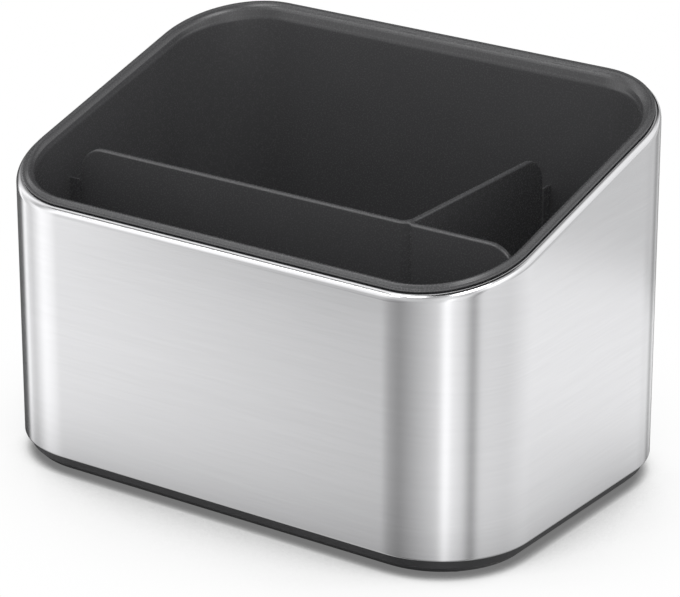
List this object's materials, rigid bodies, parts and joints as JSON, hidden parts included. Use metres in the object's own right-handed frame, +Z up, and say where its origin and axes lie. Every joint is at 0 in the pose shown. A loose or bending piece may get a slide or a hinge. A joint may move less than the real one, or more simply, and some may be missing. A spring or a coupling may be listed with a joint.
{
  "type": "kitchen sink caddy",
  "caption": "Sink caddy: brushed steel sleeve with a slanted top on a moulded base, holding a dark lift-out liner and a lift-out T-shaped divider.",
  "frame": {"origin": "on the surface that the feet stand on, under the middle of the sleeve", "axes": "+Z up, +X along the long side towards the right as seen from the front, -Y towards the low front"},
  "size_m": [0.18, 0.1228, 0.1215],
  "materials": {
    "sleeve_steel": "brushed round the sleeve, in fine horizontal lines",
    "liner_plastic": "fine matt grain",
    "divider_plastic": "fine matt grain",
    "base_plastic": "satin",
    "foot_rubber": "matt"
  },
  "bodies": {
    "shell": {"sleeve": "sleeve_steel", "base": "base_plastic", "foot_front_left": "foot_rubber", "foot_front_right": "foot_rubber", "foot_back_left": "foot_rubber", "foot_back_right": "foot_rubber"},
    "liner_body": {"liner": "liner_plastic"},
    "divider_body": {"divider": "divider_plastic"}
  },
  "joints": [
    {"name": "liner_lift", "type": "slide", "parent": "shell", "child": "liner_body", "axis": [0, 0, 1], "range_m": [0, 0.115]},
    {"name": "divider_lift", "type": "slide", "parent": "liner_body", "child": "divider_body", "axis": [0, 0, 1], "range_m": [0, 0.115]}
  ]
}
